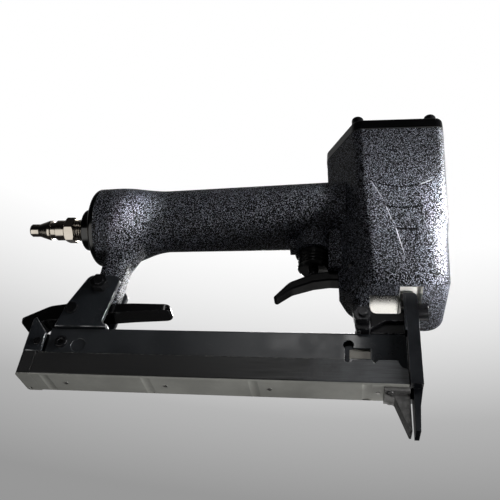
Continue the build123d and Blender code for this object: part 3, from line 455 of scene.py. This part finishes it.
# one look for each of the other finishes; smoothFrom gives two places along x and the roughness after them
looks = {
    "glossPaint": {"tone": (0.002, 0.002, 0.0024), "second": (0.004, 0.004, 0.0048), "worn": (0.30, 0.30, 0.30),
                   "edge": 0.0005, "wear": 0.08, "rough": (0.12, 0.20), "peel": 420.0, "grain": 0.08,
                   "coat": 0.5},
    "triggerPaint": {"tone": (0.005, 0.005, 0.006), "second": (0.009, 0.009, 0.011), "worn": (0.25, 0.25, 0.26),
                     "edge": 0.0004, "wear": 0.25, "rough": (0.30, 0.42), "peel": 700.0, "grain": 0.15,
                     "specular": 0.15},
    "latchPaint": {"tone": (0.003, 0.003, 0.0035), "second": (0.006, 0.006, 0.007), "worn": (0.34, 0.34, 0.34),
                   "edge": 0.0005, "wear": 0.10, "rough": (0.14, 0.24), "peel": 350.0, "grain": 0.10,
                   "coat": 0.5},
    "railPaint": {"tone": (0.022, 0.025, 0.030), "second": (0.032, 0.036, 0.042), "worn": (0.36, 0.37, 0.38),
                  "edge": 0.0004, "wear": 0.55, "rough": (0.30, 0.42), "stretch": (70.0, 1500.0, 1500.0),
                  "grain": 0.10, "rubbedAndLit": 0.12, "rubScale": 260.0, "specular": 1.0,
                  "smoothFrom": (-0.034, -0.026, 0.10)},
    "bracketPaint": {"tone": (0.018, 0.021, 0.026), "second": (0.027, 0.031, 0.037), "worn": (0.75, 0.76, 0.78),
                     "edge": 0.0009, "wear": 1.0, "breakup": 160.0, "rough": (0.32, 0.46), "peel": 800.0,
                     "grain": 0.16, "rubbedAndLit": 0.10, "rubScale": 260.0},
    "shelfPaint": {"tone": (0.006, 0.006, 0.007), "second": (0.010, 0.010, 0.012), "worn": (0.42, 0.42, 0.43),
                   "edge": 0.0008, "wear": 1.0, "rough": (0.24, 0.36), "peel": 700.0, "grain": 0.12,
                   "specular": 0.25},
    "guideSteel": {"tone": (0.30, 0.295, 0.29), "second": (0.17, 0.168, 0.166), "worn": (0.60, 0.60, 0.58),
                   "edge": 0.0004, "wear": 0.7, "cloudScale": 260.0, "rough": (0.34, 0.52), "peel": 600.0,
                   "grain": 0.35, "metal": 0.6},
    "pusherSteel": {"tone": (0.60, 0.575, 0.51), "second": (0.50, 0.48, 0.43), "worn": (0.70, 0.69, 0.66),
                    "edge": 0.0003, "wear": 0.5, "rough": (0.34, 0.46), "stretch": (50.0, 1800.0, 1800.0),
                    "grain": 0.10, "metal": 0.2},
    "bluedSteel": {"tone": (0.020, 0.022, 0.027), "second": (0.032, 0.035, 0.041), "worn": (0.48, 0.48, 0.48),
                   "edge": 0.0002, "wear": 0.3, "rough": (0.28, 0.40), "stretch": (1600.0, 1600.0, 60.0),
                   "grain": 0.10, "metal": 0.6},
    "blackOxide": {"tone": (0.016, 0.016, 0.018), "second": (0.028, 0.028, 0.031), "worn": (0.34, 0.34, 0.35),
                   "edge": 0.0003, "wear": 0.55, "rough": (0.14, 0.24), "peel": 1500.0, "grain": 0.08,
                   "metal": 0.5},
    "bareSteel": {"tone": (0.46, 0.455, 0.44), "second": (0.34, 0.335, 0.32), "worn": (0.66, 0.65, 0.63),
                  "edge": 0.0003, "wear": 0.6, "rough": (0.28, 0.44), "stretch": (50.0, 1800.0, 1800.0),
                  "grain": 0.12, "metal": 0.95},
    "nickelPlate": {"tone": (0.66, 0.61, 0.54), "second": (0.54, 0.49, 0.42), "worn": (0.78, 0.75, 0.70),
                    "edge": 0.0003, "wear": 0.4, "rough": (0.10, 0.22), "stretch": (1800.0, 120.0, 120.0),
                    "grain": 0.06, "metal": 1.0},
    "machinedAluminium": {"tone": (0.66, 0.66, 0.65), "second": (0.56, 0.56, 0.55), "worn": (0.78, 0.78, 0.77),
                          "edge": 0.0003, "wear": 0.4, "rough": (0.26, 0.38), "stretch": (160.0, 160.0, 2200.0),
                          "grain": 0.15, "metal": 0.95},
    "sealRubber": {"tone": (0.014, 0.014, 0.014), "second": (0.026, 0.026, 0.026), "worn": (0.06, 0.06, 0.06),
                   "edge": 0.0003, "wear": 0.4, "rough": (0.55, 0.72), "peel": 1400.0, "grain": 0.25},
    "bumperUrethane": {"tone": (0.36, 0.24, 0.06), "second": (0.28, 0.18, 0.05), "worn": (0.44, 0.32, 0.12),
                       "edge": 0.0005, "wear": 0.4, "rough": (0.38, 0.52), "peel": 700.0, "grain": 0.15},
    "springWire": {"tone": (0.40, 0.40, 0.41), "second": (0.30, 0.30, 0.31), "worn": (0.55, 0.55, 0.55),
                   "edge": 0.0002, "wear": 0.3, "rough": (0.22, 0.34), "peel": 1600.0, "grain": 0.10,
                   "metal": 0.95},
}
wearers = {
    "glossPaint": ["cylinder_cap", "handle_end_cap", "inlet_bushing", "valve_body"],
    "triggerPaint": ["trigger"],
    "latchPaint": ["latch_lever"],
    "railPaint": ["fixed_rail"],
    "shelfPaint": ["nose_bracket", "front_block", "rail_saddle"],
    "bracketPaint": ["rear_bracket", "magazine_catch"],
    "guideSteel": ["staple_guide", "guide_rivets"],
    "pusherSteel": ["pusher"],
    "bluedSteel": ["nose_bar", "driver_guide", "nose_dowel", "staple_core"],
    "blackOxide": ["cap_screws", "nose_screw", "saddle_bolt", "saddle_nut", "bracket_bolt", "bracket_nut",
                   "latch_pin", "trigger_pin", "rail_screws", "catch_rivets", "rail_rivets", "valve_stem"],
    "bareSteel": ["core_rivets", "driver_blade", "spring_rod"],
    "nickelPlate": ["air_plug"],
    "machinedAluminium": ["cylinder_sleeve", "piston", "head_valve"],
    "sealRubber": ["cap_gasket", "sleeve_seals", "head_valve_seals", "piston_ring", "end_cap_seal",
                   "valve_seals"],
    "bumperUrethane": ["bumper"],
    "springWire": ["head_valve_spring", "valve_spring", "latch_spring", "pusher_spring"],
}

finishes = {name: makeFinish(name, look) for name, look in looks.items()}
finishes["wrinkleCoat"] = makeCoat(coatLook)
finishes["coverSheet"] = makeCoverFinish(coverLook)
wearers["wrinkleCoat"] = ["housing"]
wearers["coverSheet"] = ["magazine_cover", "magazine_end"]


def dress(nodeName, material):
    mesh = cad[nodeName].data
    mesh.materials.clear()
    mesh.materials.append(material)


for finishName, nodeNames in wearers.items():
    for nodeName in nodeNames:
        dress(nodeName, finishes[finishName])
print("finishes:", len(finishes), "on", sum(len(group) for group in wearers.values()), "nodes")


# wound springs; squash gives the joint, the axis, the end that stays and the share of the length it keeps
springShape = {"steps": 20, "sides": 8}
springTurns = {
    "pusher_spring": {"turns": 40.0, "coil": 0.0021, "wire": 0.00045, "low": (-0.1764, 0.0, 0.033),
                      "length": 0.1497, "turn": (0.0, math.pi / 2, 0.0), "body": "magazine",
                      "squash": ("pusher_slide", (1.0, 0.0, 0.0), (-0.1764, 0.0, 0.033), 0.26)},
    "valve_spring": {"turns": 5.0, "coil": 0.0036, "wire": 0.00045, "low": (-0.0462, 0.0, 0.1027),
                     "length": 0.0060, "turn": (0.0, 0.0, 0.0), "body": "frame",
                     "squash": ("valve_lift", (0.0, 0.0, 1.0), (-0.0462, 0.0, 0.1087), 0.42)},
    "head_valve_spring": {"turns": 4.5, "coil": 0.0096, "wire": 0.0007, "low": (-0.0017, 0.0, 0.1582),
                          "length": 0.0080, "turn": (0.0, 0.0, 0.0), "body": "frame",
                          "squash": ("head_valve_lift", (0.0, 0.0, 1.0), (-0.0017, 0.0, 0.1662), 0.65)},
    "latch_spring": {"turns": 1.4, "coil": 0.0028, "wire": 0.0004, "low": (-0.1653, 0.0057, 0.0552),
                     "length": 0.0006, "turn": (-math.pi / 2, 0.0, 0.0), "body": "frame", "squash": None},
}


def makeSpringTree(shape):
    tree = bpy.data.node_groups.new("woundSpring", "GeometryNodeTree")
    tree.is_modifier = True
    sizes = {"Turns": 5.0, "Coil Radius": 0.004, "Wire Radius": 0.0005, "Length": 0.02}
    for label, value in sizes.items():
        tree.interface.new_socket(label, in_out="INPUT", socket_type="NodeSocketFloat").default_value = value
    for label in ("Place", "Turn"):
        tree.interface.new_socket(label, in_out="INPUT", socket_type="NodeSocketVector")
    tree.interface.new_socket("Finish", in_out="INPUT", socket_type="NodeSocketMaterial")
    tree.interface.new_socket("Geometry", in_out="OUTPUT", socket_type="NodeSocketGeometry")
    given = tree.nodes.new("NodeGroupInput").outputs
    coil = put(tree, "GeometryNodeCurveSpiral", {"Resolution": shape["steps"], "Rotations": given["Turns"],
                                                 "Start Radius": given["Coil Radius"],
                                                 "End Radius": given["Coil Radius"], "Height": given["Length"]})
    wire = put(tree, "GeometryNodeCurvePrimitiveCircle", {"Resolution": shape["sides"],
                                                          "Radius": given["Wire Radius"]})
    tube = put(tree, "GeometryNodeCurveToMesh", {"Curve": coil.outputs[0], "Profile Curve": wire.outputs[0],
                                                 "Fill Caps": True})
    placed = put(tree, "GeometryNodeTransform", {"Geometry": tube.outputs[0], "Translation": given["Place"],
                                                 "Rotation": given["Turn"]})
    smooth = put(tree, "GeometryNodeSetShadeSmooth", {0: placed.outputs[0]})
    whole = put(tree, "GeometryNodeRealizeInstances", {0: smooth.outputs[0]})
    dressed = put(tree, "GeometryNodeSetMaterial", {"Geometry": whole.outputs[0], "Material": given["Finish"]})
    tree.links.new(dressed.outputs[0], tree.nodes.new("NodeGroupOutput").inputs[0])
    return tree


def meshFromNodes(name, tree, values):
    holder = bpy.data.objects.new(name + "Maker", bpy.data.meshes.new(name + "Maker"))
    scene.collection.objects.link(holder)
    modifier = holder.modifiers.new("shape", "NODES")
    modifier.node_group = tree
    sockets = {item.name: item.identifier for item in tree.interface.items_tree if item.in_out == "INPUT"}
    for label, value in values.items():
        modifier[sockets[label]] = value
    graph = bpy.context.evaluated_depsgraph_get()
    mesh = bpy.data.meshes.new_from_object(holder.evaluated_get(graph), depsgraph=graph)
    mesh.name = name
    bpy.data.objects.remove(holder)
    piece = bpy.data.objects.new(name, mesh)
    scene.collection.objects.link(piece)
    return piece


springTree = makeSpringTree(springShape)
for nodeName, spring in springTurns.items():
    piece = meshFromNodes(nodeName + "_coil", springTree, {
        "Turns": spring["turns"], "Coil Radius": spring["coil"], "Wire Radius": spring["wire"],
        "Length": spring["length"], "Place": spring["low"], "Turn": spring["turn"],
        "Finish": finishes["springWire"]})
    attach(piece, spring["body"])
    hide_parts(nodeName)
    if spring["squash"]:
        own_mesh(piece)
print("springs wound:", len(springTurns))


# floor under the nose: open from below, where the camera stands
floorLook = {
    "size": 6.0,
    "height": -0.0004,
    "tone": (0.74, 0.74, 0.74),
    "shade": 0.98,
    "cloudScale": 3.0,
    "rough": 0.9,
    "thrown": (0.01, 0.01, 0.01),      # what it throws back at the tool
    # glowing white patches that only gloss sees, though no lamp: painted reflections for the pad under the head
    # and the air plug; place, inner and outer reach
    "white": (1.0, 0.99, 0.96),
    "patches": [((0.0, 0.085, 0.0), 0.05, 0.058), ((-0.28, -0.10, 0.0), 0.10, 0.14)],
}


def makeFloor(look):
    half = look["size"] / 2
    corners = [(-half, -half), (half, -half), (half, half), (-half, half)]
    mesh = bpy.data.meshes.new("floor")
    mesh.from_pydata([(x, y, look["height"]) for x, y in corners], [], [(0, 1, 2, 3)])
    floor = bpy.data.objects.new("floor", mesh)
    scene.collection.objects.link(floor)
    material, tree, shader = newFinish("floorPaper")
    cloud = useGroup(tree, clouds, Scale=look["cloudScale"])["Value"]
    shade = tuple(value * look["shade"] for value in look["tone"])
    path = put(tree, "ShaderNodeLightPath").outputs
    pale = mixTone(tree, cloud, look["tone"], shade)
    place = put(tree, "ShaderNodeTexCoord").outputs["Object"]
    tree.links.new(mixTone(tree, path["Is Camera Ray"], look["thrown"], pale), shader.inputs["Base Color"])
    mirrored = (0.0, 0.0, 0.0)
    for middle, inner, outer in look["patches"]:
        away = put(tree, "ShaderNodeVectorMath", {0: place, 1: middle}, operation="DISTANCE")
        reach = calc(tree, "MULTIPLY", remap(tree, away.outputs["Value"], outer, inner), path["Is Glossy Ray"])
        mirrored = mixTone(tree, reach, mirrored, look["white"])
    # the patches glow: painted reflections, seen only by gloss
    tree.links.new(mirrored, shader.inputs["Emission Color"])
    shader.inputs["Emission Strength"].default_value = 1.0
    shader.inputs["Roughness"].default_value = look["rough"]
    opening = put(tree, "ShaderNodeBsdfTransparent")
    back = put(tree, "ShaderNodeNewGeometry").outputs["Backfacing"]
    through = calc(tree, "MAXIMUM", back, path["Is Shadow Ray"])
    mix = put(tree, "ShaderNodeMixShader", {0: through, 1: shader.outputs[0], 2: opening.outputs[0]})
    tree.links.new(mix.outputs[0], tree.nodes["Material Output"].inputs["Surface"])
    mesh.materials.append(material)


makeFloor(floorLook)


# surroundings: white overhead, falling to grey towards the horizon; the steps give height and grey
skyLook = {
    "steps": [(0.0, 0.30), (0.28, 0.31), (0.393, 0.456), (0.504, 0.776), (0.543, 0.871), (0.606, 1.0)],
    "light": (0.95, 0.97, 1.0),
    "lightStrength": 0.01,
    # how much of it the gloss shows, in front of the tool and behind it, and where that changes along y
    "mirrorFront": 0.012,
    "mirrorBack": 0.25,
    "mirrorSpan": (-0.3, 0.6),
}


def makeSky(look):
    world = bpy.data.worlds.new("surroundings")
    scene.world = world
    world.use_nodes = True
    tree = world.node_tree
    tree.nodes.clear()
    way = put(tree, "ShaderNodeTexCoord").outputs["Generated"]
    axes = put(tree, "ShaderNodeSeparateXYZ", {"Vector": way}).outputs
    ramp = put(tree, "ShaderNodeValToRGB", {"Fac": axes["Z"]})
    points = ramp.color_ramp.elements
    while len(points) < len(look["steps"]):
        points.new(0.5)
    for point, (place, grey) in zip(points, look["steps"]):
        point.position = place
        point.color = (grey, grey, grey, 1.0)
    path = put(tree, "ShaderNodeLightPath").outputs
    share = remap(tree, axes["Y"], *look["mirrorSpan"], look["mirrorFront"], look["mirrorBack"])
    straight = calc(tree, "MAXIMUM", path["Is Camera Ray"], path["Is Transmission Ray"])
    strength = calc(tree, "MAXIMUM", straight, share)
    seen = put(tree, "ShaderNodeBackground", {"Color": ramp.outputs[0], "Strength": strength})
    light = put(tree, "ShaderNodeBackground", {"Color": (*look["light"], 1.0),
                                               "Strength": look["lightStrength"]})
    direct = calc(tree, "MAXIMUM", straight, path["Is Glossy Ray"])
    mix = put(tree, "ShaderNodeMixShader", {0: direct, 1: light.outputs[0], 2: seen.outputs[0]})
    tree.links.new(mix.outputs[0], put(tree, "ShaderNodeOutputWorld").inputs["Surface"])


makeSky(skyLook)


# lamps round the tool; those with a spread, in degrees, are narrow beams
openSpread = 180.0
lamps = {
    "keyRight": {"place": (0.28, -0.048, 0.25), "aim": (0.01, 0.0, 0.12), "size": (0.05, 0.12), "power": 1.8},
    "corner": {"place": (0.22, -0.17, 0.14), "aim": (0.019, -0.0245, 0.098), "size": (0.006, 0.05),
               "power": 0.012, "spread": 3.0},
    "headSide": {"place": (0.26, -0.13, 0.20), "aim": (0.005, -0.025, 0.11), "size": (0.03, 0.03),
                 "power": 0.020, "spread": 20.0},
    "lowRight": {"place": (0.25, -0.06, -0.02), "aim": (0.01, 0.0, 0.08), "size": (0.12, 0.12), "power": 0.8},
    "frontUp": {"place": (-0.08, -0.42, 0.26), "aim": (-0.05, 0.0, 0.04), "size": (0.12, 0.12), "power": 0.12},
    "chin": {"place": (0.06, -0.10, -0.06), "aim": (0.016, -0.015, 0.070), "size": (0.02, 0.02),
             "power": 0.005, "spread": 14.0},
    "swell": {"place": (0.10, -0.20, 0.16), "aim": (-0.135, -0.022, 0.111), "size": (0.006, 0.024),
              "power": 0.002, "spread": 3.5},
    "farSide": {"place": (-0.06, 0.40, 0.42), "aim": (-0.06, 0.0, 0.08), "size": (0.20, 0.20), "power": 2.0},
    "under": {"place": (-0.115, 0.0, -0.06), "aim": (-0.115, 0.0, 0.0), "size": (0.15, 0.014), "power": 0.022},
}


def makeLamp(name, look):
    data = bpy.data.lights.new(name, "AREA")
    data.shape = "RECTANGLE"
    data.size, data.size_y = look["size"]
    data.energy = look["power"]
    data.spread = math.radians(look.get("spread", openSpread))
    lamp = bpy.data.objects.new(name, data)
    scene.collection.objects.link(lamp)
    lamp.location = look["place"]
    way = Vector(look["aim"]) - Vector(look["place"])
    lamp.rotation_euler = way.to_track_quat("-Z", "Y").to_euler()


for lampName, lampLook in lamps.items():
    makeLamp(lampName, lampLook)
scene.view_settings.view_transform = "Standard"
print("stage, surroundings and lamps set")
